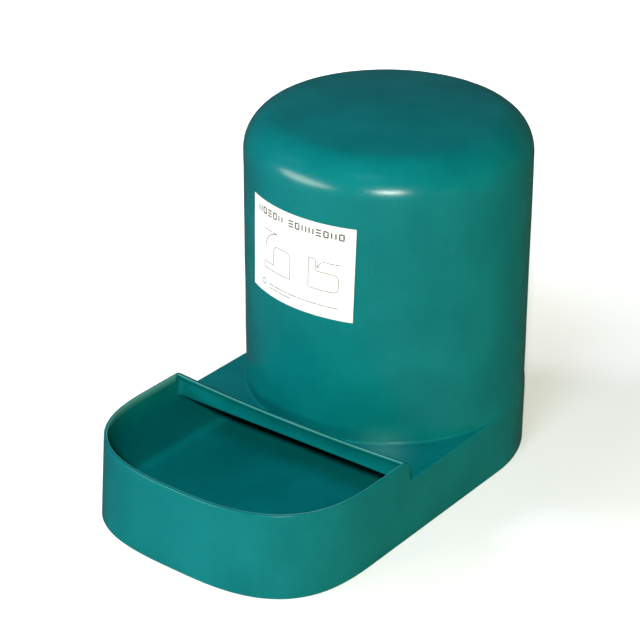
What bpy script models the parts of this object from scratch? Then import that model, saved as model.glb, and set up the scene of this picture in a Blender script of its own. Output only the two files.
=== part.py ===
"""Gravity-fed drinking fountain in thin polyethylene.

A domed reservoir stands on a flat deck at the round rear of a D-shaped base. In front of the deck
the base is an open trough. The deck ends in an upright baffle, and water reaches the trough under
the baffle, because the base is one hollow from front to back. Metres, +Z up, trough towards -Y,
origin on the ground under the centre of the object's box.
"""
import math

import bmesh
import bpy

MM = 0.001

# Driving dimensions
HALF_WIDTH = 130 * MM          # half the base's width, and the radius of its round rear
FRONT_REACH = 302 * MM         # from the reservoir's axis to the front of the foot
RIM_REACH = 298.5 * MM         # the same at the rim, because the front wall leans in
STRAIGHT_REACH = 185 * MM      # from the reservoir's axis to where the straight sides end
FOOT_EXPONENT = 3.0            # superellipse exponent of the front at the ground
RIM_EXPONENT = 2.7             # and at the rim, where the corners are rounder
RIM_HEIGHT = 78 * MM
DECK_HEIGHT = 58 * MM
HEIGHT = 328 * MM
WALL = 3 * MM
GAP = 0.3 * MM                 # clearance between pieces that meet

TANK_RADIUS_FOOT = 129.2 * MM
TANK_RADIUS_TOP = 128.6 * MM
SHOULDER_RADIUS = 35 * MM
CROWN_RADIUS = 740 * MM
FOOT_FILLET = 5 * MM           # concave flare where the reservoir meets the deck
OPENING_RADIUS = 122 * MM      # hole in the deck under the reservoir
SPIGOT_DROP = 6 * MM           # how far the reservoir's spigot reaches down from the deck's top

BAFFLE_REACH = 138.3 * MM      # from the reservoir's axis to the baffle's rear face
STEP_RADIUS = 8.5 * MM         # round top of the step from the deck up to the rim
LABEL_WIDTH = 116 * MM
LABEL_HEIGHT = 88 * MM
LABEL_THICKNESS = 0.4 * MM
LABEL_CENTRE_Z = 221.5 * MM
LABEL_TURN = math.radians(-1.8)    # the label's middle, round the reservoir from the front
LABEL_TILT = math.radians(1.7)     # the label was stuck on a little askew, its left side high
LABEL_CORNER = 1.5 * MM

# Values that follow from them
TANK_Y = (FRONT_REACH - HALF_WIDTH) / 2
BAFFLE_REAR = TANK_Y - BAFFLE_REACH
REBATE = WALL / 2              # depth of the steps that the deck and floor sit in
LEDGE_HEIGHT = DECK_HEIGHT - WALL
CLEAR = 10 * MM                # how far a cutter runs past what it cuts

# How finely curves are divided
TURN_STEPS = 72                # the reservoir, once round
REAR_STEPS = 36                # the base's round rear
FRONT_STEPS = 40               # the base's front
CROWN_STEPS = 5
SHOULDER_STEPS = 9
FLARE_STEPS = 4
STEP_ARC_STEPS = 5
LABEL_CORNER_STEPS = 3
LABEL_STRIPS = 16
MERGE_DISTANCE = 0.01 * MM

MOULDED_ROUGHNESS = 0.4
PAPER_ROUGHNESS = 0.5
TEAL = (0.0, 0.19, 0.165, 1.0)
DEEP_TEAL = (0.0, 0.15, 0.135, 1.0)
LIGHT_TEAL = (0.0, 0.23, 0.19, 1.0)
PAPER = (0.82, 0.83, 0.84, 1.0)


def clear_scene():
    for existing in list(bpy.data.objects):
        bpy.data.objects.remove(existing, do_unlink=True)


def new_collection(name):
    collection = bpy.data.collections.new(name)
    bpy.context.scene.collection.children.link(collection)
    return collection


def make_material(name, color, roughness):
    material = bpy.data.materials.new(name)
    material.use_nodes = True
    shader = material.node_tree.nodes["Principled BSDF"]
    shader.inputs["Base Color"].default_value = color
    shader.inputs["Roughness"].default_value = roughness
    shader.inputs["Metallic"].default_value = 0.0
    material.diffuse_color = color
    return material


def add_object(name, mesh, collection, material=None):
    obj = bpy.data.objects.new(name, mesh)
    collection.objects.link(obj)
    if material:
        mesh.materials.append(material)
    return obj


def mark_as_cutter(obj):
    obj.hide_render = True
    obj.display_type = "WIRE"


def boolean(obj, cutter, operation):
    modifier = obj.modifiers.new(operation.title(), "BOOLEAN")
    modifier.operation = operation
    modifier.solver = "EXACT"
    modifier.object = cutter


def blend(low, high, share):
    return low + (high - low) * share


def plan(height, inset=0.0):
    """Outline of the base at a height, counter-clockwise from its right side, moved in by inset."""
    share = height / RIM_HEIGHT
    half_width = HALF_WIDTH - inset
    depth = blend(FRONT_REACH, RIM_REACH, share) - STRAIGHT_REACH - inset
    power = 2 / blend(FOOT_EXPONENT, RIM_EXPONENT, share)
    front_y = TANK_Y - STRAIGHT_REACH
    points = []
    for step in range(REAR_STEPS + 1):
        angle = math.pi * step / REAR_STEPS
        points.append((half_width * math.cos(angle), TANK_Y + half_width * math.sin(angle)))
    for step in range(FRONT_STEPS + 1):
        angle = math.pi + math.pi * step / FRONT_STEPS
        across = math.copysign(abs(math.cos(angle)) ** power, math.cos(angle))
        points.append((half_width * across, front_y - depth * abs(math.sin(angle)) ** power))
    return points


def deck_plan(inset, front):
    """Outline of the base behind a straight front edge, moved in by inset at the sides and rear."""
    half_width = HALF_WIDTH - inset
    points = [(half_width, front)]
    for step in range(REAR_STEPS + 1):
        angle = math.pi * step / REAR_STEPS
        points.append((half_width * math.cos(angle), TANK_Y + half_width * math.sin(angle)))
    points.append((-half_width, front))
    return points


def step_arc(radius):
    """Quarter circle in Y and Z over the top of the baffle, from its upright side forward."""
    centre_y = BAFFLE_REAR - STEP_RADIUS
    centre_z = RIM_HEIGHT - STEP_RADIUS
    points = []
    for step in range(STEP_ARC_STEPS + 1):
        angle = math.pi / 2 * step / STEP_ARC_STEPS
        points.append((centre_y + radius * math.cos(angle), centre_z + radius * math.sin(angle)))
    return points


def at_height(outline, height):
    return [(x, y, height) for x, y in outline]


def at_side(section, x):
    return [(x, y, z) for y, z in section]


def loft(name, start, end):
    """Closed solid between two rings of points, counter-clockwise as seen from the end ring."""
    mesh = bpy.data.meshes.new(name)
    bm = bmesh.new()
    first = [bm.verts.new(point) for point in start]
    last = [bm.verts.new(point) for point in end]
    count = len(first)
    for index in range(count):
        following = (index + 1) % count
        bm.faces.new((first[index], first[following], last[following], last[index]))
    bm.faces.new(list(reversed(first)))
    bm.faces.new(last)
    bm.to_mesh(mesh)
    bm.free()
    return mesh


def upright(name, outline, low, high):
    return loft(name, at_height(outline, low), at_height(outline, high))


def tank_radius(height):
    share = (height - DECK_HEIGHT) / (HEIGHT - SHOULDER_RADIUS - DECK_HEIGHT)
    return blend(TANK_RADIUS_FOOT, TANK_RADIUS_TOP, share)


def dome_profile(offset):
    """Crown and shoulder from the axis outward, moved in by offset."""
    crown_centre = HEIGHT - CROWN_RADIUS
    shoulder_r = TANK_RADIUS_TOP - SHOULDER_RADIUS
    span = CROWN_RADIUS - SHOULDER_RADIUS
    shoulder_z = crown_centre + math.sqrt(span ** 2 - shoulder_r ** 2)
    crown_angle = math.asin(shoulder_r / span)
    radius = CROWN_RADIUS - offset
    points = []
    for step in range(CROWN_STEPS):
        angle = crown_angle * step / CROWN_STEPS
        points.append((radius * math.sin(angle), crown_centre + radius * math.cos(angle)))
    radius = SHOULDER_RADIUS - offset
    for step in range(SHOULDER_STEPS + 1):
        angle = blend(crown_angle, math.pi / 2, step / SHOULDER_STEPS)
        points.append((shoulder_r + radius * math.sin(angle), shoulder_z + radius * math.cos(angle)))
    return points


def foot_profile():
    """Concave flare, foot face and spigot, from the outer wall round to the inner wall."""
    seat = DECK_HEIGHT + GAP
    wall_r = tank_radius(seat)
    points = []
    for step in range(FLARE_STEPS + 1):
        angle = math.pi / 2 * step / FLARE_STEPS
        points.append((wall_r + FOOT_FILLET * (1 - math.cos(angle)),
                       seat + FOOT_FILLET * (1 - math.sin(angle))))
    spigot_outer = OPENING_RADIUS - GAP
    spigot_inner = spigot_outer - WALL + GAP
    points.append((spigot_outer, seat))
    points.append((spigot_outer, DECK_HEIGHT - SPIGOT_DROP))
    points.append((spigot_inner, DECK_HEIGHT - SPIGOT_DROP))
    points.append((spigot_inner, seat + WALL))
    points.append((wall_r - WALL, seat + WALL))
    return points


def make_reservoir(parts, cutters, material):
    profile = dome_profile(0.0) + foot_profile() + list(reversed(dome_profile(WALL)))
    mesh = bpy.data.meshes.new("reservoir_shell")
    edges = [(index, index + 1) for index in range(len(profile) - 1)]
    mesh.from_pydata([(r, 0.0, z) for r, z in profile], edges, [])
    obj = add_object("reservoir_shell", mesh, parts, material)
    obj.location.y = TANK_Y
    screw = obj.modifiers.new("Turn", "SCREW")
    screw.axis = "Z"
    screw.steps = TURN_STEPS
    screw.render_steps = TURN_STEPS
    screw.use_merge_vertices = True
    screw.merge_threshold = MERGE_DISTANCE
    screw.use_smooth_shade = True

    outline = deck_plan(0.0, TANK_Y - STRAIGHT_REACH)
    trim_mesh = upright("flare_trim", outline, 0.0, HEIGHT + CLEAR)
    trim = add_object("flare_trim", trim_mesh, cutters)
    mark_as_cutter(trim)
    boolean(obj, trim, "INTERSECT")
    return obj


def make_deck(parts, cutters, material):
    outline = deck_plan(REBATE + GAP, BAFFLE_REAR + GAP)
    mesh = upright("deck_panel", outline, LEDGE_HEIGHT + GAP, DECK_HEIGHT)
    obj = add_object("deck_panel", mesh, parts, material)
    bpy.ops.mesh.primitive_cylinder_add(
        vertices=TURN_STEPS, radius=OPENING_RADIUS, depth=DECK_HEIGHT,
        location=(0.0, TANK_Y, DECK_HEIGHT))
    hole = bpy.context.object
    hole.name = "deck_opening"
    for collection in list(hole.users_collection):
        collection.objects.unlink(hole)
    cutters.objects.link(hole)
    mark_as_cutter(hole)
    boolean(obj, hole, "DIFFERENCE")
    return obj


def make_baffle(parts, material):
    """Upright strip between the side walls, its top rolled forward over the trough."""
    reach = HALF_WIDTH - WALL - GAP
    outer = step_arc(STEP_RADIUS)
    inner = step_arc(STEP_RADIUS - WALL)
    section = [(BAFFLE_REAR - WALL, LEDGE_HEIGHT), (BAFFLE_REAR, LEDGE_HEIGHT)]
    section += outer + list(reversed(inner))
    mesh = loft("baffle_plate", at_side(section, -reach), at_side(section, reach))
    return add_object("baffle_plate", mesh, parts, material)


def make_base_wall(parts, cutters, material):
    """Wall of the base: full height round the trough, deck height behind the baffle."""
    mesh = loft("trough_wall", at_height(plan(0.0), 0.0), at_height(plan(RIM_HEIGHT), RIM_HEIGHT))
    obj = add_object("trough_wall", mesh, parts, material)
    low = -CLEAR
    high = RIM_HEIGHT + CLEAR
    behind = TANK_Y + HALF_WIDTH + CLEAR
    step = [(BAFFLE_REAR, DECK_HEIGHT), (behind, DECK_HEIGHT), (behind, high)]
    step += [(BAFFLE_REAR - STEP_RADIUS, high)]
    step += list(reversed(step_arc(STEP_RADIUS)))
    side = HALF_WIDTH + CLEAR
    deck_seat = deck_plan(REBATE, BAFFLE_REAR)
    floor_seat = plan(0.0, REBATE)
    cuts = (
        loft("hollow", at_height(plan(low, WALL), low), at_height(plan(high, WALL), high)),
        loft("rear_step", at_side(step, -side), at_side(step, side)),
        upright("deck_seat", deck_seat, LEDGE_HEIGHT, high),
        upright("floor_seat", floor_seat, low, WALL + GAP),
    )
    for cut_mesh in cuts:
        cutter = add_object(cut_mesh.name, cut_mesh, cutters)
        mark_as_cutter(cutter)
        boolean(obj, cutter, "DIFFERENCE")
    return obj


def make_floor(parts, material):
    outline = plan(0.0, REBATE + GAP)
    mesh = upright("floor_panel", outline, 0.0, WALL)
    return add_object("floor_panel", mesh, parts, material)


def label_outline():
    """Rounded rectangle, counter-clockwise, about the label's own centre."""
    half_w = LABEL_WIDTH / 2 - LABEL_CORNER
    half_h = LABEL_HEIGHT / 2 - LABEL_CORNER
    points = []
    for corner, (side_x, side_y) in enumerate(((1, 1), (-1, 1), (-1, -1), (1, -1))):
        for step in range(LABEL_CORNER_STEPS + 1):
            angle = math.pi / 2 * (corner + step / LABEL_CORNER_STEPS)
            points.append((side_x * half_w + LABEL_CORNER * math.cos(angle),
                           side_y * half_h + LABEL_CORNER * math.sin(angle)))
    return points


def on_reservoir(across, up, lift):
    """Point on the reservoir's wall for a place on the flat label, lifted off the wall by lift."""
    x = across * math.cos(LABEL_TILT) + up * math.sin(LABEL_TILT)
    z = up * math.cos(LABEL_TILT) - across * math.sin(LABEL_TILT) + LABEL_CENTRE_Z
    radius = tank_radius(z)
    angle = LABEL_TURN + x / radius
    radius += lift
    return radius * math.sin(angle), TANK_Y - radius * math.cos(angle), z


def make_label(parts, material):
    """Flat sticker bent round the reservoir: cut into strips first, so that it bends smoothly."""
    mesh = bpy.data.meshes.new("instruction_label")
    bm = bmesh.new()
    outline = [bm.verts.new((x, 0.0, z)) for x, z in label_outline()]
    bm.faces.new(outline)
    for strip in range(1, LABEL_STRIPS):
        cut_x = LABEL_WIDTH * (strip / LABEL_STRIPS - 0.5)
        everything = bm.verts[:] + bm.edges[:] + bm.faces[:]
        bmesh.ops.bisect_plane(bm, geom=everything, dist=MERGE_DISTANCE,
                               plane_co=(cut_x, 0.0, 0.0), plane_no=(1.0, 0.0, 0.0))
    for vert in bm.verts:
        vert.co = on_reservoir(vert.co.x, vert.co.z, GAP)
    bmesh.ops.recalc_face_normals(bm, faces=bm.faces)
    bm.faces.ensure_lookup_table()
    if bm.faces[0].normal.y > 0:
        bmesh.ops.reverse_faces(bm, faces=bm.faces)
    bm.to_mesh(mesh)
    bm.free()
    obj = add_object("instruction_label", mesh, parts, material)
    sheet = obj.modifiers.new("Thickness", "SOLIDIFY")
    sheet.thickness = LABEL_THICKNESS
    sheet.offset = 1.0
    return obj


def main():
    clear_scene()
    parts = new_collection("drinking_fountain")
    cutters = new_collection("cutters")
    tank_plastic = make_material("reservoir_polyethylene", TEAL, MOULDED_ROUGHNESS)
    deck_plastic = make_material("deck_polyethylene", TEAL, MOULDED_ROUGHNESS)
    baffle_plastic = make_material("baffle_polyethylene", DEEP_TEAL, MOULDED_ROUGHNESS)
    wall_plastic = make_material("trough_polyethylene", LIGHT_TEAL, MOULDED_ROUGHNESS)
    floor_plastic = make_material("floor_polyethylene", DEEP_TEAL, MOULDED_ROUGHNESS)
    label_paper = make_material("label_paper", PAPER, PAPER_ROUGHNESS)

    make_reservoir(parts, cutters, tank_plastic)
    make_deck(parts, cutters, deck_plastic)
    make_baffle(parts, baffle_plastic)
    make_base_wall(parts, cutters, wall_plastic)
    make_floor(parts, floor_plastic)
    make_label(parts, label_paper)


main()
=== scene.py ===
"""Looks of the gravity-fed drinking fountain: fine seamless plastic surfaces round the CAD frame.

The base's extent, the heights and the places of the deck, the baffle and the label come from the
frame. The reservoir's profile, the wall sections and the label's size are named values below that
follow the CAD. Angles round the reservoir are measured counter-clockwise from +X. The trough points
to -Y.
"""
import math

import bmesh
import bpy
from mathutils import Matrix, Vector, noise


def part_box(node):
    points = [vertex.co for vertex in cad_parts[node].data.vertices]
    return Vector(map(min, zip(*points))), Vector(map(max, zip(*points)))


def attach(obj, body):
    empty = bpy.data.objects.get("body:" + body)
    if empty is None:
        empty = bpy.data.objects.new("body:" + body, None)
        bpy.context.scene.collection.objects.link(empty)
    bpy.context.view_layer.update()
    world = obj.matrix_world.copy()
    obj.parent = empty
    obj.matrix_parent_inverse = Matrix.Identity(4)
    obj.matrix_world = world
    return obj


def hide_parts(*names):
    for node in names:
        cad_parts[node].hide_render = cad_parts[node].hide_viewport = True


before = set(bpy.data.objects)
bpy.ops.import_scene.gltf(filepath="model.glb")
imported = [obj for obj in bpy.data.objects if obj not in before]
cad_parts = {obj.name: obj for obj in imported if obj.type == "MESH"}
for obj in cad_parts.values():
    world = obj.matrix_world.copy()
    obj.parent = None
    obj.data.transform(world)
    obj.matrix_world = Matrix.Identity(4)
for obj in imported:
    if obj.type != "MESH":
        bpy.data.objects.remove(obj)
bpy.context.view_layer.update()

MM = 0.001
TURN = 2 * math.pi
UP = Vector((0.0, 0.0, 1.0))

# Places read from the CAD frame
_, tank_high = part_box("reservoir_shell")
_, deck_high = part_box("deck_panel")
wall_low, wall_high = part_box("trough_wall")
baffle_low, baffle_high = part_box("baffle_plate")
_, floor_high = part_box("floor_panel")
label_low, label_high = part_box("instruction_label")

HALF_WIDTH = wall_high.x
AXIS_Y = wall_high.y - HALF_WIDTH
FRONT_REACH = AXIS_Y - wall_low.y
RIM_Z = wall_high.z
DECK_Z = deck_high.z
TOP_Z = tank_high.z
FLOOR_Z = floor_high.z
BAFFLE_REAR = baffle_high.y
STEP_RADIUS = baffle_high.y - baffle_low.y     # rolled top of the step from deck to rim
LABEL_Z = (label_low.z + label_high.z) / 2

# The base's plan, as the CAD wall has it
RIM_REACH = FRONT_REACH - 3.5 * MM
STRAIGHT_REACH = 185 * MM
FOOT_EXPONENT = 3.0
RIM_EXPONENT = 2.7

# Wall sections
WALL = 3 * MM
FOOT_ROUND = 0.8 * MM          # lower edge of the base
FLOOR_FILLET = 7 * MM          # inside, where the wall meets the floor
RIM_ROUND = 1.3 * MM           # outer edge of the cut rim
DECK_ROUND = 2.4 * MM          # edge between the deck and the side walls
CUT_BEVEL = 0.3 * MM
EDGE_HIGHLIGHT_WIDTH = 0.7 * MM                # width of the pale line painted on the inner edge of the cut as a highlight
STEP_FILLET = 3.5 * MM         # where the deck turns up into the baffle
BAFFLE_BOTTOM_ROUND = 1.0 * MM
CORNER_FILLET = 4 * MM         # between the baffle's face and the side walls
LIP_FORWARD = 0.1 * MM         # the cut lip stands this far in front of the rolled top
BAFFLE_BOW = 5 * MM            # the free top of the baffle bulges over the trough
BAFFLE_THICKENING = 1.5 * MM   # its face stands this much further forward at the lower edge
BAFFLE_SKEW = 2.3 * MM         # and this much more at the left end, less at the right

# Reservoir
TANK_RADIUS_FOOT = 129.2 * MM
TANK_RADIUS_TOP = 128.6 * MM
SHOULDER_RADIUS = 35 * MM
CROWN_RADIUS = 740 * MM
TANK_FILLET = 2.5 * MM
OPENING_RADIUS = 122 * MM
WAVE = 0.25 * MM               # depth of the slow unevenness of the moulded wall
WAVE_SIZE = 45 * MM
WAVE_FADE = 30 * MM            # height over which it dies out above the deck
BLEND_HEIGHT = 12 * MM         # height over which the wall flows into the base at the rear
OPEN_GAP = 4 * MM              # deck wider than this has its full edge and fillet

# Fineness of the surfaces: how many steps each stretch is divided into
REAR_STEPS = 96                # half circle round the rear
FRONT_STEPS = 144              # front of the base
SIDE_STEPS = 48                # straight sides beside the deck
RIM_SIDE_STEPS = 10            # straight sides beside the trough
STEP_FILLET_STEPS = 6
STEP_RISE_STEPS = 4
STEP_TOP_STEPS = 9
FOOT_STEPS = 4
WALL_LEVELS = 10
TOP_EDGE_STEPS = 5
FLOOR_FILLET_STEPS = 6
DECK_FRONT_STEPS = 64
BAFFLE_ROUND_STEPS = 6
BAFFLE_FACE_STEPS = 5
BAFFLE_CORNER_STEPS = 8
BAFFLE_LENGTH_STEPS = 60
TANK_COLUMNS = 240
CROWN_STEPS = 12
SHOULDER_STEPS = 24
TANK_WALL_STEPS = 40
TANK_FOOT_STEPS = 18
TANK_FOOT_CROWDING = 1.8       # rows lie closer together towards the deck
INNER_COARSENESS = 3           # the dome's unseen inside has this many times fewer steps
LABEL_COLUMNS = 48
LABEL_LEVELS = 24
MERGE_DISTANCE = 1e-7
SHARP_ANGLE = math.radians(35)

# Painted sheen: a faint pale patch on the deck and the foot of the reservoir, in front, standing for
# a reflection of the lit wall
SHEEN_CENTRE = Vector((82 * MM, AXIS_Y - 111 * MM, DECK_Z))
SHEEN_SIZE = Vector((20 * MM, 17 * MM, 12 * MM))
SHEEN_STRENGTH = 0.28

# Label
LABEL_WIDTH = 116 * MM
LABEL_HEIGHT = 88 * MM
LABEL_TURN = math.radians(-91.8)               # where its middle is, round the reservoir
LABEL_TILT = math.radians(1.7)
LABEL_LIFT = 0.15 * MM         # how far its back stands off the wall
LABEL_THICKNESS = 0.25 * MM
PRINT_LIFT = LABEL_LIFT + LABEL_THICKNESS + 0.02 * MM
PRINT_THICKNESS = 0.03 * MM
HEADING_WORDS = ((1, 0, 2, 0, 1), (2, 0, 1, 1, 2, 0, 1, 0))     # kinds of mark, see add_glyph
HEADING_LEFT = -48.5 * MM
HEADING_UP = 34.7 * MM
GLYPH_WIDTH = 5.2 * MM
GLYPH_HEIGHT = 6.6 * MM
GLYPH_LINE = 1.35 * MM
GLYPH_PITCH = 7.2 * MM
WORD_SPACE = 5 * MM
DRAWING_LINE = 0.8 * MM
SMALL_LINE = 0.9 * MM
SMALL_SPACE = 0.9 * MM
STROKE_PIECE = 2.5 * MM        # longest flat piece of a stroke, so that it follows the curve
# The drawings, in millimetres from the label's middle. A fountain has its length, its trough's
# height, its whole height and its corner's place.
UPRIGHT_DRINKER = ((34, 6, 25), (-39, -19))
LYING_DRINKER = ((28, 7, 29), (15, 9.5))
TURNING_ARROW = ((-20, 1), 17, 178, 92)        # centre, radius, and its two ends in degrees
FILLING_ARROW = ((28, 8), (23.5, 2))
FILLING_ARROWHEAD = ((26.4, 2.4), (23.5, 2), (23.8, 5))
RING_MARK = ((-39.5, -33.6), 2.6, 0, 360)
# Lines of small print: left end, height and the length of each dash
SMALL_PRINT = (
    (-38.5, 18.3, (4, 6, 5.5)),
    (28.5, 8.4, (3, 2.5, 4, 4.5)),
    (-32, -33, (7, 11, 5, 9, 4, 3, 12, 8, 10)),
    (-31, -36.6, (5, 6, 14)),
)

# Plastic: colours, then the layers mixed one over another where their noise runs high. A layer has
# its noise's scale, detail and stretch, the noise where it starts and where it is strongest, its
# greatest share and its colour.
DARK_PLASTIC = (0.0, 0.104, 0.113, 1.0)
LIGHT_PLASTIC = (0.001, 0.127, 0.136, 1.0)
PITTED_PLASTIC = (0.0, 0.072, 0.078, 1.0)
# Pale colour of the scuffs; the same colour is painted on as highlight along the cut edges and as
# the sheen patch
SCUFF_AND_HIGHLIGHT_PLASTIC = (0.10, 0.32, 0.30, 1.0)
PLASTIC_LAYERS = (
    (18.0, 5.0, (1.0, 1.0, 1.0), 0.35, 0.65, 1.0, LIGHT_PLASTIC),      # clouds
    (60.0, 4.0, (1.0, 1.0, 0.18), 0.45, 0.75, 0.35, LIGHT_PLASTIC),    # upright streaks
    (700.0, 2.0, (1.0, 1.0, 1.0), 0.5, 0.75, 0.4, PITTED_PLASTIC),     # pits
    (90.0, 6.0, (1.0, 0.25, 0.9), 0.7, 0.8, 0.1, SCUFF_AND_HIGHLIGHT_PLASTIC),        # scuffs
)
PAINTED_HIGHLIGHT_SHARE = 0.8               # how much of the pale colour is painted on as highlight where the attribute is 1
PLASTIC_GLOSS_SCALE = 500.0
PLASTIC_ROUGHNESS = (0.20, 0.26)
PLASTIC_SPECULAR = 0.35
# Bumps: noise scale, detail, strength and height
ORANGE_PEEL = (420.0, 3.0, 0.3, 0.07 * MM)
FINE_GRAIN = (1500.0, 2.0, 0.2, 0.02 * MM)
PAPER_FIBRE = (1800.0, 3.0, 0.15, 0.02 * MM)

# Label paper and ink: a darker and a lighter colour each
PAPER_COLOURS = ((0.62, 0.615, 0.62, 1.0), (0.66, 0.655, 0.66, 1.0))
PAPER_CLOUD_SCALE = 30.0
PAPER_GLOSS_SCALE = 120.0
PAPER_ROUGHNESS = (0.42, 0.55)
DARK_INK = ((0.030, 0.034, 0.026, 1.0), (0.055, 0.060, 0.048, 1.0))
GREY_INK = ((0.14, 0.13, 0.135, 1.0), (0.22, 0.21, 0.21, 1.0))
INK_PATCH_SCALE = 400.0
INK_ROUGHNESS = 0.55
PATCH_DETAIL = 3.0
PATCH_NOISE = (0.3, 0.7)       # the range that most of a noise's values lie in

# Camera: the direction it looks from, how far it stands off, and what it looks at
CAMERA_AZIMUTH = math.radians(38.04)
CAMERA_ELEVATION = math.radians(27.42)
CAMERA_DISTANCE = 1917.7 * MM
CAMERA_LENS = 119.3            # millimetres
CAMERA_SENSOR = 36.0           # its width in millimetres
CAMERA_TARGET = Vector((-28.3 * MM, AXIS_Y - 62.2 * MM, 130.5 * MM))

# Studio: soft lights at one distance, their directions in degrees, measured as the camera's are
STUDIO_SIZE = 12.0
STUDIO_COLOUR = (0.96, 0.96, 0.96, 1.0)
STUDIO_ROUGHNESS = 0.9
LIGHT_DISTANCE = 5.0
WORLD_STRENGTH = 0.05
BACKDROP_AZIMUTH = math.radians(218)
BACKDROP_REACH = 1.6          # how far behind the fountain the backdrop's light hangs
BACKDROP_HEIGHT = 1.2
BACKDROP_SIZE = 0.8
BACKDROP_SPREAD = math.radians(100)
BACKDROP_POWER = 13
# name, azimuth, elevation, width, height, watts, colour, whether it lights, whether it is reflected
LIGHTS = (
    ("key", 35, 34.2, 0.3, 0.3, 284, (1.0, 1.0, 0.85), True, False),
    ("highlight", 38, 16.5, 1.9, 0.5, 150, (1.0, 0.97, 0.92), False, True),
    ("left_low", -31, 13.5, 4.3, 1.1, 146, (1.0, 1.0, 0.88), True, True),
    ("left_high", -60, 38, 1.5, 1.5, 80, (0.8, 0.8, 1.0), True, False),
    ("right_low", 80, 3.5, 1.5, 0.4, 42, (1.0, 1.0, 0.0), True, False),
    ("right_rear", 140, 3.5, 1.5, 0.4, 14, (1.0, 1.0, 0.0), True, False),
    ("sky", 15, 54, 1.5, 1.5, 80, (0.64, 0.74, 1.0), True, False),
)


def blend(low, high, share):
    return low + (high - low) * share


def smooth(share):
    share = min(max(share, 0.0), 1.0)
    return share * share * (3 - 2 * share)


def quarter_turn(steps):
    """Angles from 0 to a right angle."""
    return [math.pi / 2 * step / steps for step in range(steps + 1)]


def around(angle):
    """Level direction at an angle round the reservoir."""
    return Vector((math.cos(angle), math.sin(angle), 0.0))


def towards(azimuth, elevation):
    """Direction from the fountain to a camera or a light. Azimuth 0 is in front of the trough."""
    return Vector((math.sin(azimuth) * math.cos(elevation),
                   -math.cos(azimuth) * math.cos(elevation), math.sin(elevation)))


# ---------------------------------------------------------------- mesh helpers

def new_piece(name, mesh, material, *nodes):
    piece = bpy.data.objects.new(name, mesh)
    bpy.context.scene.collection.objects.link(piece)
    mesh.materials.append(material)
    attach(piece, "root")
    if nodes:
        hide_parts(*nodes)
    return piece


def grid_mesh(name, rows, wrap_rows=False, wrap_columns=False, painted_highlight=None):
    """Quads between rows of points. The last argument, called with (row, column, point), says how
    much pale colour is painted there as highlight.
    """
    bm = bmesh.new()
    layer = bm.verts.layers.float.new("painted_highlight")
    verts = []
    for row_index, row in enumerate(rows):
        line = []
        for column, point in enumerate(row):
            vert = bm.verts.new(point)
            vert[layer] = painted_highlight(row_index, column, point) if painted_highlight else 0.0
            line.append(vert)
        verts.append(line)
    row_count = len(rows)
    column_count = len(rows[0])
    for row in range(row_count if wrap_rows else row_count - 1):
        below = verts[(row + 1) % row_count]
        for column in range(column_count if wrap_columns else column_count - 1):
            following = (column + 1) % column_count
            bm.faces.new((verts[row][column], verts[row][following],
                          below[following], below[column]))
    return finish_mesh(name, bm)


def finish_mesh(name, bm):
    """Merges the points that meet, turns the faces outward and shades all but sharp edges smooth."""
    bmesh.ops.remove_doubles(bm, verts=bm.verts, dist=MERGE_DISTANCE)
    bmesh.ops.recalc_face_normals(bm, faces=bm.faces)
    mesh = bpy.data.meshes.new(name)
    bm.to_mesh(mesh)
    bm.free()
    mesh.shade_smooth()
    mesh.set_sharp_from_angle(angle=SHARP_ANGLE)
    return mesh


def painted_sheen(row, column, point):
    """Strength of the painted sheen at a point, a pale patch standing for a reflection, for
    grid_mesh.
    """
    away = point - SHEEN_CENTRE
    spread = (away.x / SHEEN_SIZE.x) ** 2 + (away.y / SHEEN_SIZE.y) ** 2 + (away.z / SHEEN_SIZE.z) ** 2
    return SHEEN_STRENGTH * math.exp(-spread)


def cap_ends(mesh_rows):
    """Adds the middle points that close the first and last rows of a tube."""
    first = sum((Vector(point) for point in mesh_rows[0]), Vector()) / len(mesh_rows[0])
    last = sum((Vector(point) for point in mesh_rows[-1]), Vector()) / len(mesh_rows[-1])
    count = len(mesh_rows[0])
    return [[first] * count] + mesh_rows + [[last] * count]


# ---------------------------------------------------------------- the base's plan

def plan_front(angle, height):
    """Front of the base's outline at a height, for an angle from pi to two pi."""
    share = height / RIM_Z
    depth = blend(FRONT_REACH, RIM_REACH, share) - STRAIGHT_REACH
    power = 2 / blend(FOOT_EXPONENT, RIM_EXPONENT, share)
    across = math.copysign(abs(math.cos(angle)) ** power, math.cos(angle))
    return Vector((HALF_WIDTH * across,
                   AXIS_Y - STRAIGHT_REACH - depth * abs(math.sin(angle)) ** power, height))


def plan_inward(angle, height):
    """Level direction into the trough, square to the front's outline."""
    nudge = 1e-4
    before = plan_front(max(angle - nudge, math.pi), height)
    after = plan_front(min(angle + nudge, TURN), height)
    return UP.cross((after - before).normalized())


def edge_gap(x, y):
    """How far the base's edge is from the reservoir's wall."""
    return math.hypot(x, y - AXIS_Y) - TANK_RADIUS_FOOT


def openness(gap):
    """0 where the reservoir's wall runs straight into the base, 1 where there is deck between."""
    closed = HALF_WIDTH - TANK_RADIUS_FOOT
    return smooth((gap - closed) / (OPEN_GAP - closed))


def deck_round(gap):
    """Radius of the deck's outer edge, smaller where the deck is narrow."""
    least = 0.05 * MM
    share_of_gap = 0.4
    return blend(least, min(DECK_ROUND, share_of_gap * gap), openness(gap))


def tank_flare(gap):
    """Radius of the fillet at the reservoir's foot, as far as the deck has room for it."""
    return min(TANK_FILLET, gap - deck_round(gap))


# ---------------------------------------------------------------- base wall

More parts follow.
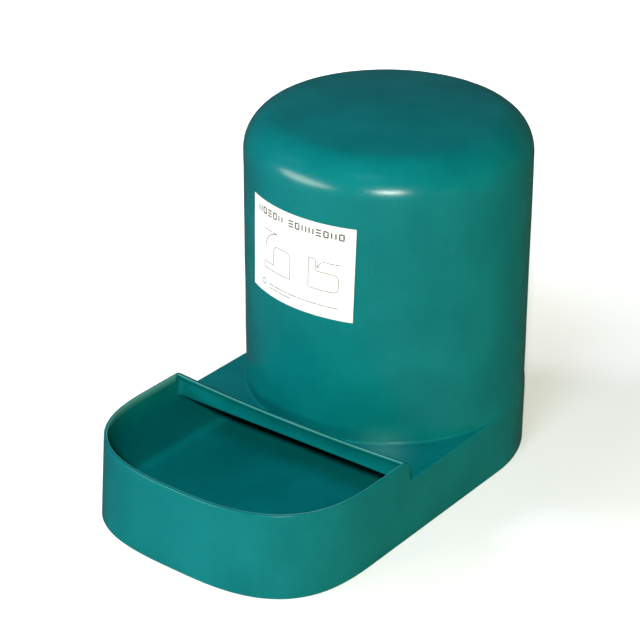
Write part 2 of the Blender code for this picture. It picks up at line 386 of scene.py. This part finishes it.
def step_path():
    """Line from the deck up the step to the rim: (y, z, outward y, outward z), rear to front."""
    path = []
    for angle in quarter_turn(STEP_FILLET_STEPS):
        path.append((BAFFLE_REAR + STEP_FILLET * (1 - math.sin(angle)),
                     DECK_Z + STEP_FILLET * (1 - math.cos(angle)),
                     math.sin(angle), math.cos(angle)))
    low = DECK_Z + STEP_FILLET
    high = RIM_Z - STEP_RADIUS
    for step in range(1, STEP_RISE_STEPS):
        path.append((BAFFLE_REAR, blend(low, high, step / STEP_RISE_STEPS), 1.0, 0.0))
    for angle in quarter_turn(STEP_TOP_STEPS):
        path.append((BAFFLE_REAR - STEP_RADIUS * (1 - math.cos(angle)),
                     RIM_Z - STEP_RADIUS * (1 - math.sin(angle)),
                     math.cos(angle), math.sin(angle)))
    return path


def station(foot, crest, inward, outward, edge_round, bevel=0.0):
    """One closed section of the wall: outside from the ground to the top edge, then inside down."""
    base = foot.copy()
    base.z = 0.0
    side = (crest - foot).normalized() if crest.z > foot.z else UP
    points = []
    for angle in quarter_turn(FOOT_STEPS):
        lift = FOOT_ROUND * (1 - math.cos(angle))
        points.append(base + inward * FOOT_ROUND * (1 - math.sin(angle)) + side * lift / side.z)
    low = points[-1]
    high = crest - outward * edge_round
    for level in range(1, WALL_LEVELS):
        points.append(low.lerp(high, level / WALL_LEVELS))
    for angle in reversed(quarter_turn(TOP_EDGE_STEPS)):
        points.append(crest - outward * edge_round * (1 - math.cos(angle))
                      + inward * edge_round * (1 - math.sin(angle)))
    points.append(crest + inward * (WALL - bevel - EDGE_HIGHLIGHT_WIDTH))
    points.append(crest + inward * (WALL - bevel))
    points.append(crest + inward * WALL - outward * bevel)
    high = points[-1]
    fillet_top = FLOOR_Z + FLOOR_FILLET
    low = base + side * fillet_top / side.z + inward * WALL
    for level in range(1, WALL_LEVELS):
        points.append(high.lerp(low, level / WALL_LEVELS))
    for angle in quarter_turn(FLOOR_FILLET_STEPS):
        points.append(base + side * FLOOR_Z / side.z
                      + UP * FLOOR_FILLET * (1 - math.sin(angle))
                      + inward * (WALL + FLOOR_FILLET * (1 - math.cos(angle))))
    points.append(base + inward * (WALL + FLOOR_FILLET))
    return points


# A section's two points on the inner edge of the cut rim come after its foot, outside, top edge and
# the point where the painted highlight line starts.
CUT_EDGE_FIRST = FOOT_STEPS + WALL_LEVELS + TOP_EDGE_STEPS + 2
CUT_EDGE_POINTS = (CUT_EDGE_FIRST, CUT_EDGE_FIRST + 1)


def side_stations(side):
    """Sections of a straight side, rear to front. side is 1 for +X and -1 for -X."""
    inward = Vector((-side, 0.0, 0.0))
    x = side * HALF_WIDTH
    sections = []
    deck_front = BAFFLE_REAR + STEP_FILLET
    for step in range(1, SIDE_STEPS):
        y = blend(AXIS_Y, deck_front, step / SIDE_STEPS)
        sections.append(station(Vector((x, y, 0.0)), Vector((x, y, DECK_Z)), inward, UP,
                                deck_round(edge_gap(x, y))))
    path = step_path()
    rim_start = path[-1][0]
    for index, (y, z, out_y, out_z) in enumerate(path):
        share = index / (len(path) - 1)
        foot = Vector((x, blend(deck_front, rim_start, share), 0.0))
        sections.append(station(foot, Vector((x, y, z)), inward, Vector((0.0, out_y, out_z)),
                                blend(DECK_ROUND, RIM_ROUND, share)))
    straight_end = AXIS_Y - STRAIGHT_REACH
    for step in range(1, RIM_SIDE_STEPS):
        y = blend(rim_start, straight_end, step / RIM_SIDE_STEPS)
        sections.append(station(Vector((x, y, 0.0)), Vector((x, y, RIM_Z)), inward, UP,
                                RIM_ROUND, CUT_BEVEL))
    return sections


def make_wall(material):
    """Outer wall of the base: sections round the rear, down one side, round the front and back."""
    sections = []
    for step in range(REAR_STEPS + 1):
        out = around(math.pi * step / REAR_STEPS)
        foot = Vector((0.0, AXIS_Y, 0.0)) + out * HALF_WIDTH
        crest = foot + UP * DECK_Z
        sections.append(station(foot, crest, -out, UP, deck_round(edge_gap(foot.x, foot.y))))
    sections += side_stations(-1)
    for step in range(FRONT_STEPS + 1):
        angle = math.pi + math.pi * step / FRONT_STEPS
        sections.append(station(plan_front(angle, 0.0), plan_front(angle, RIM_Z),
                                plan_inward(angle, RIM_Z / 2), UP, RIM_ROUND, CUT_BEVEL))
    sections += list(reversed(side_stations(1)))

    # Painted highlight: the inner edge of the cut rim is pale, standing for light caught by the edge
    def painted_highlight(row, column, point):
        on_rim = point.y < BAFFLE_REAR - STEP_RADIUS and column in CUT_EDGE_POINTS
        return 1.0 if on_rim else 0.0

    mesh = grid_mesh("trough_wall_skin", sections, wrap_rows=True, wrap_columns=True, painted_highlight=painted_highlight)
    return new_piece("trough_wall_skin", mesh, material, "trough_wall")


def inner_outline(inset):
    """The base's outline at the ground, moved in, counter-clockwise from its right side."""
    axis = Vector((0.0, AXIS_Y, 0.0))
    points = []
    for step in range(REAR_STEPS + 1):
        points.append(axis + around(math.pi * step / REAR_STEPS) * (HALF_WIDTH - inset))
    for step in range(FRONT_STEPS + 1):
        angle = math.pi + math.pi * step / FRONT_STEPS
        points.append(plan_front(angle, 0.0) + plan_inward(angle, 0.0) * inset)
    return points


def make_floor(material):
    """Flat bottom inside the wall's floor fillet, in rings so that its surface has fine faces."""
    outline = inner_outline(WALL + FLOOR_FILLET)
    centre = Vector((0.0, AXIS_Y - FRONT_REACH / 3, 0.0))
    shares = (0.0, 0.25, 0.5, 0.75, 1.0)
    rows = [[centre.lerp(point, share) + UP * FLOOR_Z for point in outline] for share in shares]
    rows += [[centre.lerp(point, share) for point in outline] for share in reversed(shares)]
    mesh = grid_mesh("floor_skin", rows, wrap_columns=True)
    return new_piece("floor_skin", mesh, material, "floor_panel")


# ---------------------------------------------------------------- deck and baffle

def make_deck(material):
    """Plate inside the wall, from the step's fillet back, with the round opening."""
    reach = HALF_WIDTH - WALL
    front = BAFFLE_REAR + STEP_FILLET
    outline = []
    axis = Vector((0.0, AXIS_Y, 0.0))
    for step in range(DECK_FRONT_STEPS):
        outline.append(Vector((blend(-reach, reach, step / DECK_FRONT_STEPS), front, 0.0)))
    for step in range(SIDE_STEPS):
        outline.append(Vector((reach, blend(front, AXIS_Y, step / SIDE_STEPS), 0.0)))
    for step in range(REAR_STEPS):
        outline.append(axis + around(math.pi * step / REAR_STEPS) * reach)
    for step in range(SIDE_STEPS):
        outline.append(Vector((-reach, blend(AXIS_Y, front, step / SIDE_STEPS), 0.0)))
    hole = [axis + (point - axis).normalized() * OPENING_RADIUS for point in outline]
    shares = (0.0, 0.2, 0.4, 0.6, 0.8, 1.0)
    rows = []
    for share in shares:
        rows.append([outer.lerp(inner, share) + UP * DECK_Z
                     for outer, inner in zip(outline, hole)])
    for share in reversed(shares):
        rows.append([outer.lerp(inner, share) + UP * (DECK_Z - WALL)
                     for outer, inner in zip(outline, hole)])
    # Painted sheen: the deck gets the pale patch that stands for a reflection
    mesh = grid_mesh("deck_skin", rows, wrap_rows=True, wrap_columns=True, painted_highlight=painted_sheen)
    return new_piece("deck_skin", mesh, material, "deck_panel")


def baffle_section():
    """Closed section in Y and Z, each point with how far the end fillets push it forward."""
    section = [(y, z, 0.0) for y, z, _, _ in step_path()]
    lip_y = BAFFLE_REAR - STEP_RADIUS
    for height in (RIM_Z - CUT_BEVEL, RIM_Z - CUT_BEVEL - EDGE_HIGHLIGHT_WIDTH, RIM_Z - WALL + CUT_BEVEL):
        section.append((lip_y - LIP_FORWARD, height, 0.0))
    inner = STEP_RADIUS - WALL
    for angle in reversed(quarter_turn(BAFFLE_ROUND_STEPS)):
        section.append((lip_y + inner * math.cos(angle),
                        RIM_Z - STEP_RADIUS + inner * math.sin(angle), math.cos(angle)))
    face_y = BAFFLE_REAR - WALL
    bottom = DECK_Z - WALL
    low = bottom + BAFFLE_BOTTOM_ROUND
    high = RIM_Z - STEP_RADIUS
    for step in range(1, BAFFLE_FACE_STEPS):
        section.append((face_y, blend(high, low, step / BAFFLE_FACE_STEPS), 1.0))
    for angle in quarter_turn(BAFFLE_ROUND_STEPS):
        section.append((face_y + BAFFLE_BOTTOM_ROUND * (1 - math.cos(angle)),
                        low - BAFFLE_BOTTOM_ROUND * math.sin(angle), math.cos(angle)))
    section.append((BAFFLE_REAR + STEP_FILLET, bottom, 0.0))
    return section


def make_baffle(material):
    """Strip between the side walls, with a fillet in each corner of its front face."""
    reach = HALF_WIDTH - WALL
    section = baffle_section()
    lip_index = len(step_path())
    corner = [-reach + CORNER_FILLET * (1 - math.cos(angle))
              for angle in quarter_turn(BAFFLE_CORNER_STEPS)]
    columns = list(corner)
    for step in range(1, BAFFLE_LENGTH_STEPS):
        columns.append(blend(corner[-1], -corner[-1], step / BAFFLE_LENGTH_STEPS))
    columns += [-x for x in reversed(corner)]
    rows = []
    for x in columns:
        bulge = BAFFLE_BOW * (1 - (x / reach) ** 2)
        thickening = BAFFLE_THICKENING - BAFFLE_SKEW * x / reach
        into_corner = max(abs(x) - (reach - CORNER_FILLET), 0.0)
        push = CORNER_FILLET - math.sqrt(max(CORNER_FILLET ** 2 - into_corner ** 2, 0.0))
        row = []
        for y, z, share in section:
            top_share = smooth((z - DECK_Z) / (RIM_Z - DECK_Z))
            forward = bulge * top_share + thickening * share * (1 - top_share)
            row.append(Vector((x, y - forward - push * share, z)))
        rows.append(row)

    # Painted highlight: the inner edge of the cut lip is pale, standing for light caught by the edge
    def painted_highlight(row, column, point):
        return 1.0 if column in (lip_index - 1, lip_index) else 0.0

    mesh = grid_mesh("baffle_skin", cap_ends(rows), wrap_columns=True, painted_highlight=painted_highlight)
    return new_piece("baffle_skin", mesh, material, "baffle_plate")


# ---------------------------------------------------------------- reservoir

def dome_profile(offset, crown_steps, shoulder_steps):
    """Crown and shoulder from the axis outward: (radius, height), moved in by offset."""
    crown_centre = TOP_Z - CROWN_RADIUS
    shoulder_r = TANK_RADIUS_TOP - SHOULDER_RADIUS
    span = CROWN_RADIUS - SHOULDER_RADIUS
    shoulder_z = crown_centre + math.sqrt(span ** 2 - shoulder_r ** 2)
    crown_angle = math.asin(shoulder_r / span)
    radius = CROWN_RADIUS - offset
    points = []
    for step in range(crown_steps):
        angle = crown_angle * step / crown_steps
        points.append((radius * math.sin(angle), crown_centre + radius * math.cos(angle)))
    radius = SHOULDER_RADIUS - offset
    for step in range(shoulder_steps + 1):
        angle = blend(crown_angle, math.pi / 2, step / shoulder_steps)
        points.append((shoulder_r + radius * math.sin(angle), shoulder_z + radius * math.cos(angle)))
    return points


WALL_TOP_Z = dome_profile(0.0, 1, 1)[-1][1]     # where the upright wall ends and the dome starts


def tank_radius(height):
    """Outer radius of the upright wall, which narrows slightly upwards."""
    return blend(TANK_RADIUS_FOOT, TANK_RADIUS_TOP, (height - DECK_Z) / (WALL_TOP_Z - DECK_Z))


def unevenness(point):
    """Slow, shallow waves of the moulded wall, mostly inward, and none near the deck."""
    fade = smooth((point.z - DECK_Z) / WAVE_FADE)
    return WAVE * fade * (noise.noise(point / WAVE_SIZE) - 0.5)


def tank_point(angle, height, lift=0.0):
    """Point on the reservoir's upright wall, lifted off it by lift."""
    out = around(angle)
    point = Vector((0.0, AXIS_Y, height)) + out * tank_radius(height)
    return point + out * (unevenness(point) + lift)


def foot_flare(angle, height):
    """How far the wall spreads towards the deck, or flows out to the base at sides and rear."""
    if math.sin(angle) < 0:
        least_cosine = 1e-6
        gap = HALF_WIDTH / max(abs(math.cos(angle)), least_cosine) - TANK_RADIUS_FOOT
    else:
        gap = HALF_WIDTH - TANK_RADIUS_FOOT
    flare = tank_flare(gap)
    rise = height - DECK_Z
    fillet = 0.0
    if rise < flare:
        fillet = flare - math.sqrt(flare ** 2 - (flare - rise) ** 2)
    flow = flare * (1 - smooth(rise / BLEND_HEIGHT))
    return blend(flow, fillet, openness(gap))


def make_reservoir(material):
    """Rows from the middle of the crown down the outside, then up the inside to the crown."""
    angles = [TURN * column / TANK_COLUMNS for column in range(TANK_COLUMNS)]
    rows = []
    for radius, height in dome_profile(0.0, CROWN_STEPS, SHOULDER_STEPS):
        row = []
        for angle in angles:
            out = around(angle)
            point = Vector((0.0, AXIS_Y, height)) + out * radius
            steepness = radius / TANK_RADIUS_TOP
            shift = unevenness(point)
            row.append(point + out * shift * steepness + UP * shift * (1 - steepness))
        rows.append(row)
    heights = [blend(WALL_TOP_Z, DECK_Z + BLEND_HEIGHT, step / TANK_WALL_STEPS)
               for step in range(1, TANK_WALL_STEPS + 1)]
    for step in range(1, TANK_FOOT_STEPS + 1):
        rise = BLEND_HEIGHT * (1 - step / TANK_FOOT_STEPS) ** TANK_FOOT_CROWDING
        heights.append(DECK_Z + rise)
    for height in heights:
        rows.append([tank_point(angle, height) + around(angle) * foot_flare(angle, height)
                     for angle in angles])
    inner = [(OPENING_RADIUS, DECK_Z), (OPENING_RADIUS, DECK_Z + WALL)]
    inner += [(tank_radius(height) - WALL, height)
              for height in (DECK_Z + WALL, blend(DECK_Z, WALL_TOP_Z, 0.5))]
    inner += list(reversed(dome_profile(WALL, CROWN_STEPS // INNER_COARSENESS,
                                        SHOULDER_STEPS // INNER_COARSENESS)))
    for radius, height in inner:
        rows.append([Vector((0.0, AXIS_Y, height)) + around(angle) * radius for angle in angles])
    # Painted sheen: the reservoir's foot gets the pale patch that stands for a reflection
    mesh = grid_mesh("reservoir_skin", rows, wrap_columns=True, painted_highlight=painted_sheen)
    return new_piece("reservoir_skin", mesh, material, "reservoir_shell")


# ---------------------------------------------------------------- label

def on_label(across, up, lift):
    """Point on the reservoir for a place on the flat label, measured from the label's middle."""
    x = across * math.cos(LABEL_TILT) + up * math.sin(LABEL_TILT)
    height = LABEL_Z + up * math.cos(LABEL_TILT) - across * math.sin(LABEL_TILT)
    return tank_point(LABEL_TURN + x / tank_radius(height), height, lift)


def make_label(material):
    """Thin closed sheet: the rows of its back going up, then the rows of its front coming down."""
    rows = []
    for lift, order in ((LABEL_LIFT, 1), (LABEL_LIFT + LABEL_THICKNESS, -1)):
        layer = []
        for level in range(LABEL_LEVELS + 1):
            up = LABEL_HEIGHT * (level / LABEL_LEVELS - 0.5)
            layer.append([on_label(LABEL_WIDTH * (column / LABEL_COLUMNS - 0.5), up, lift)
                          for column in range(LABEL_COLUMNS + 1)])
        rows += layer[::order]
    bm = bmesh.new()
    verts = [[bm.verts.new(point) for point in row] for row in rows]
    count = len(verts)
    for row in range(count):
        below = verts[(row + 1) % count]
        for column in range(LABEL_COLUMNS):
            bm.faces.new((verts[row][column], verts[row][column + 1],
                          below[column + 1], below[column]))
    for side in (0, LABEL_COLUMNS):
        for level in range(LABEL_LEVELS):
            bm.faces.new((verts[level][side], verts[level + 1][side],
                          verts[count - 2 - level][side], verts[count - 1 - level][side]))
    mesh = finish_mesh("label_sheet", bm)
    return new_piece("label_sheet", mesh, material, "instruction_label")


def add_stroke(bm, points, width):
    """Flat ribbon on the label along a line of (across, up) points."""
    fine = []
    for start, end in zip(points, points[1:]):
        start = Vector(start)
        end = Vector(end)
        pieces = max(1, math.ceil((end - start).length / STROKE_PIECE))
        fine += [start.lerp(end, piece / pieces) for piece in range(pieces)]
    fine.append(Vector(points[-1]))
    sides = []
    for index, point in enumerate(fine):
        before = fine[max(index - 1, 0)]
        after = fine[min(index + 1, len(fine) - 1)]
        along = (after - before).normalized()
        across = Vector((-along.y, along.x)) * width / 2
        sides.append((point + across, point - across))
    rings = []
    for left, right in sides:
        rings.append([bm.verts.new(on_label(place.x, place.y, lift))
                      for place, lift in ((left, PRINT_LIFT), (right, PRINT_LIFT),
                                          (right, PRINT_LIFT + PRINT_THICKNESS),
                                          (left, PRINT_LIFT + PRINT_THICKNESS))])
    for ring, following in zip(rings, rings[1:]):
        for corner in range(4):
            nearby = (corner + 1) % 4
            bm.faces.new((ring[corner], ring[nearby], following[nearby], following[corner]))
    bm.faces.new(list(reversed(rings[0])))
    bm.faces.new(rings[-1])


def arc_points(centre, radius, start, end, steps):
    """Points along an arc whose ends are in degrees."""
    points = []
    for step in range(steps + 1):
        angle = math.radians(blend(start, end, step / steps))
        points.append((centre[0] + radius * math.cos(angle), centre[1] + radius * math.sin(angle)))
    return points


def drinker_outline(length, trough, height):
    """Side view of the fountain, trough to the left, from its lower left corner at the origin."""
    tank = 0.39 * length
    corner = 0.17 * length
    points = [(0.0, 0.0), (0.0, trough), (tank, trough)]
    points += arc_points((tank + corner, height - corner), corner, 180, 90, steps=6)
    points += arc_points((length - corner, height - corner), corner, 90, 0, steps=6)
    points += [(length, 0.0), (0.0, 0.0)]
    return points


def moved(points, place):
    return [(x + place[0], y + place[1]) for x, y in points]


def in_metres(points):
    return [(x * MM, y * MM) for x, y in points]


def turned(points):
    """The same points turned a quarter clockwise about the origin."""
    return [(y, -x) for x, y in points]


def add_glyph(bm, left, middle, kind):
    """One letter-sized mark of the heading: a box, two uprights or three bars."""
    low = middle - GLYPH_HEIGHT / 2 + GLYPH_LINE / 2
    high = middle + GLYPH_HEIGHT / 2 - GLYPH_LINE / 2
    near = left + GLYPH_LINE / 2
    far = left + GLYPH_WIDTH - GLYPH_LINE / 2
    if kind == 0:
        add_stroke(bm, [(near, low), (far, low), (far, high), (near, high), (near, low)], GLYPH_LINE)
    elif kind == 1:
        add_stroke(bm, [(near, low), (near, high)], GLYPH_LINE)
        add_stroke(bm, [(far, low), (far, high)], GLYPH_LINE)
    else:
        for level in (low, middle, high):
            add_stroke(bm, [(left, level), (left + GLYPH_WIDTH, level)], GLYPH_LINE)


def make_heading(material):
    """Two words of plain marks where such a label has its title."""
    bm = bmesh.new()
    left = HEADING_LEFT
    for word in HEADING_WORDS:
        for kind in word:
            add_glyph(bm, left, HEADING_UP, kind)
            left += GLYPH_PITCH
        left += WORD_SPACE
    return new_piece("label_heading", finish_mesh("label_heading", bm), material)


def add_small_print(bm, left, up, lengths):
    """Plain dashes where such a label has a line of text."""
    for length in lengths:
        add_stroke(bm, [(left, up), (left + length * MM, up)], SMALL_LINE)
        left += length * MM + SMALL_SPACE


def make_drawings(material):
    """How to fill it: the fountain upright, and lying on its back, with arrows and captions."""
    upright_size, upright_place = UPRIGHT_DRINKER
    lying_size, lying_place = LYING_DRINKER
    bm = bmesh.new()
    for line in (moved(drinker_outline(*upright_size), upright_place),
                 moved(turned(drinker_outline(*lying_size)), lying_place),
                 arc_points(*TURNING_ARROW, steps=10), FILLING_ARROW, FILLING_ARROWHEAD):
        add_stroke(bm, in_metres(line), DRAWING_LINE)
    add_stroke(bm, in_metres(arc_points(*RING_MARK, steps=20)), SMALL_LINE)
    for left, up, lengths in SMALL_PRINT:
        add_small_print(bm, left * MM, up * MM, lengths)
    return new_piece("label_drawings", finish_mesh("label_drawings", bm), material)


# ---------------------------------------------------------------- materials

def node_material(name):
    material = bpy.data.materials.new(name)
    material.use_nodes = True
    nodes = material.node_tree.nodes
    return material, nodes, material.node_tree.links, nodes["Principled BSDF"]


def add_noise(nodes, links, scale, detail, stretch=(1.0, 1.0, 1.0)):
    coordinates = nodes.new("ShaderNodeTexCoord").outputs["Object"]
    mapping = nodes.new("ShaderNodeMapping")
    mapping.inputs["Scale"].default_value = stretch
    links.new(coordinates, mapping.inputs["Vector"])
    texture = nodes.new("ShaderNodeTexNoise")
    texture.inputs["Scale"].default_value = scale
    texture.inputs["Detail"].default_value = detail
    links.new(mapping.outputs["Vector"], texture.inputs["Vector"])
    return texture.outputs["Fac"]


def add_range(nodes, links, value, low, high, out_low, out_high):
    node = nodes.new("ShaderNodeMapRange")
    node.inputs["From Min"].default_value = low
    node.inputs["From Max"].default_value = high
    node.inputs["To Min"].default_value = out_low
    node.inputs["To Max"].default_value = out_high
    links.new(value, node.inputs["Value"])
    return node.outputs["Result"]


def add_mix(nodes, links, share, first, second):
    """Mixes two colours, each a fixed colour or a node's output."""
    node = nodes.new("ShaderNodeMix")
    node.data_type = "RGBA"
    links.new(share, node.inputs["Factor"])
    for name, value in (("A", first), ("B", second)):
        socket = [s for s in node.inputs if s.name == name and s.type == "RGBA"][0]
        if isinstance(value, tuple):
            socket.default_value = value
        else:
            links.new(value, socket)
    return [s for s in node.outputs if s.type == "RGBA"][0]


def add_bump(nodes, links, bump_kind, under=None):
    """Bump from noise, on top of the normal given as under."""
    scale, detail, strength, height = bump_kind
    bump = nodes.new("ShaderNodeBump")
    bump.inputs["Strength"].default_value = strength
    bump.inputs["Distance"].default_value = height
    links.new(add_noise(nodes, links, scale, detail), bump.inputs["Height"])
    if under:
        links.new(under, bump.inputs["Normal"])
    return bump.outputs["Normal"]


def add_patches(nodes, links, scale, out_low, out_high):
    """Value that wanders from out_low to out_high in patches."""
    patches = add_noise(nodes, links, scale, PATCH_DETAIL)
    return add_range(nodes, links, patches, *PATCH_NOISE, out_low, out_high)


def moulded_plastic():
    """Coloured polyethylene: clouds, streaks, pits, scuffs, orange peel, and pale colour painted on
    as highlight along the cut edges and as a sheen patch.
    """
    material, nodes, links, shader = node_material("moulded_polyethylene")
    colour = DARK_PLASTIC
    for scale, detail, stretch, low, high, greatest, layer_colour in PLASTIC_LAYERS:
        layer = add_noise(nodes, links, scale, detail, stretch)
        share = add_range(nodes, links, layer, low, high, 0.0, greatest)
        colour = add_mix(nodes, links, share, colour, layer_colour)
    # Painted highlight: pale colour mixed in where the mesh attribute is high, along the cut edges
    # and in the sheen patch
    painted_highlight = nodes.new("ShaderNodeAttribute")
    painted_highlight.attribute_name = "painted_highlight"
    share = add_range(nodes, links, painted_highlight.outputs["Fac"], 0.0, 1.0, 0.0, PAINTED_HIGHLIGHT_SHARE)
    colour = add_mix(nodes, links, share, colour, SCUFF_AND_HIGHLIGHT_PLASTIC)
    links.new(colour, shader.inputs["Base Color"])
    links.new(add_patches(nodes, links, PLASTIC_GLOSS_SCALE, *PLASTIC_ROUGHNESS),
              shader.inputs["Roughness"])
    shader.inputs["Specular IOR Level"].default_value = PLASTIC_SPECULAR
    peel = add_bump(nodes, links, ORANGE_PEEL)
    links.new(add_bump(nodes, links, FINE_GRAIN, peel), shader.inputs["Normal"])
    return material


def sticker_paper():
    material, nodes, links, shader = node_material("sticker_paper")
    share = add_patches(nodes, links, PAPER_CLOUD_SCALE, 0.0, 1.0)
    links.new(add_mix(nodes, links, share, *PAPER_COLOURS), shader.inputs["Base Color"])
    links.new(add_patches(nodes, links, PAPER_GLOSS_SCALE, *PAPER_ROUGHNESS),
              shader.inputs["Roughness"])
    links.new(add_bump(nodes, links, PAPER_FIBRE), shader.inputs["Normal"])
    return material


def printing_ink(name, colours):
    material, nodes, links, shader = node_material(name)
    share = add_patches(nodes, links, INK_PATCH_SCALE, 0.0, 1.0)
    links.new(add_mix(nodes, links, share, *colours), shader.inputs["Base Color"])
    shader.inputs["Roughness"].default_value = INK_ROUGHNESS
    return material


# ---------------------------------------------------------------- studio

def add_lamp(name, shape, size, power):
    light = bpy.data.lights.new(name, "AREA")
    light.shape = shape
    light.size = size
    light.energy = power
    lamp = bpy.data.objects.new(name, light)
    bpy.context.scene.collection.objects.link(lamp)
    return lamp


def add_area_light(name, azimuth, elevation, width, height, power, colour, lights, reflected):
    """Soft light aimed at the fountain from a direction in degrees."""
    back = towards(math.radians(azimuth), math.radians(elevation))
    lamp = add_lamp(name, "ELLIPSE", width, power)
    lamp.data.size_y = height
    lamp.data.color = colour
    lamp.location = CAMERA_TARGET + back * LIGHT_DISTANCE
    lamp.rotation_euler = back.to_track_quat("Z", "Y").to_euler()
    lamp.visible_diffuse = lights
    lamp.visible_glossy = reflected


def add_backdrop_light():
    """Lamp behind the fountain that shines straight down, so that the floor there stays pale."""
    lamp = add_lamp("backdrop", "DISK", BACKDROP_SIZE, BACKDROP_POWER)
    lamp.data.spread = BACKDROP_SPREAD
    lamp.location = towards(BACKDROP_AZIMUTH, 0.0) * BACKDROP_REACH + UP * BACKDROP_HEIGHT
    lamp.visible_glossy = False


def make_studio():
    bpy.ops.mesh.primitive_plane_add(size=STUDIO_SIZE, location=(0.0, 0.0, 0.0))
    ground = bpy.context.object
    ground.name = "studio_floor"
    material, _, _, shader = node_material("studio_floor")
    shader.inputs["Base Color"].default_value = STUDIO_COLOUR
    shader.inputs["Roughness"].default_value = STUDIO_ROUGHNESS
    ground.data.materials.append(material)
    ground.visible_glossy = False
    world = bpy.data.worlds.new("studio")
    bpy.context.scene.world = world
    world.use_nodes = True
    background = world.node_tree.nodes["Background"]
    background.inputs["Color"].default_value = (1.0, 1.0, 1.0, 1.0)
    background.inputs["Strength"].default_value = WORLD_STRENGTH
    for light in LIGHTS:
        add_area_light(*light)
    add_backdrop_light()


def make_camera():
    back = towards(CAMERA_AZIMUTH, CAMERA_ELEVATION)
    data = bpy.data.cameras.new("camera")
    data.lens = CAMERA_LENS
    data.sensor_width = CAMERA_SENSOR
    camera = bpy.data.objects.new("camera", data)
    bpy.context.scene.collection.objects.link(camera)
    camera.location = CAMERA_TARGET + back * CAMERA_DISTANCE
    camera.rotation_euler = back.to_track_quat("Z", "Y").to_euler()
    bpy.context.scene.camera = camera


def main():
    make_camera()
    make_studio()
    shell = moulded_plastic()
    for piece in (make_reservoir(shell), make_deck(shell), make_baffle(shell),
                  make_wall(shell), make_floor(shell)):
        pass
    dark_ink = printing_ink("dark_ink", DARK_INK)
    grey_ink = printing_ink("grey_ink", GREY_INK)
    for piece in (make_label(sticker_paper()), make_heading(dark_ink), make_drawings(grey_ink)):
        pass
    bpy.context.scene.view_settings.view_transform = "Standard"


main()
bpy.context.view_layer.update()
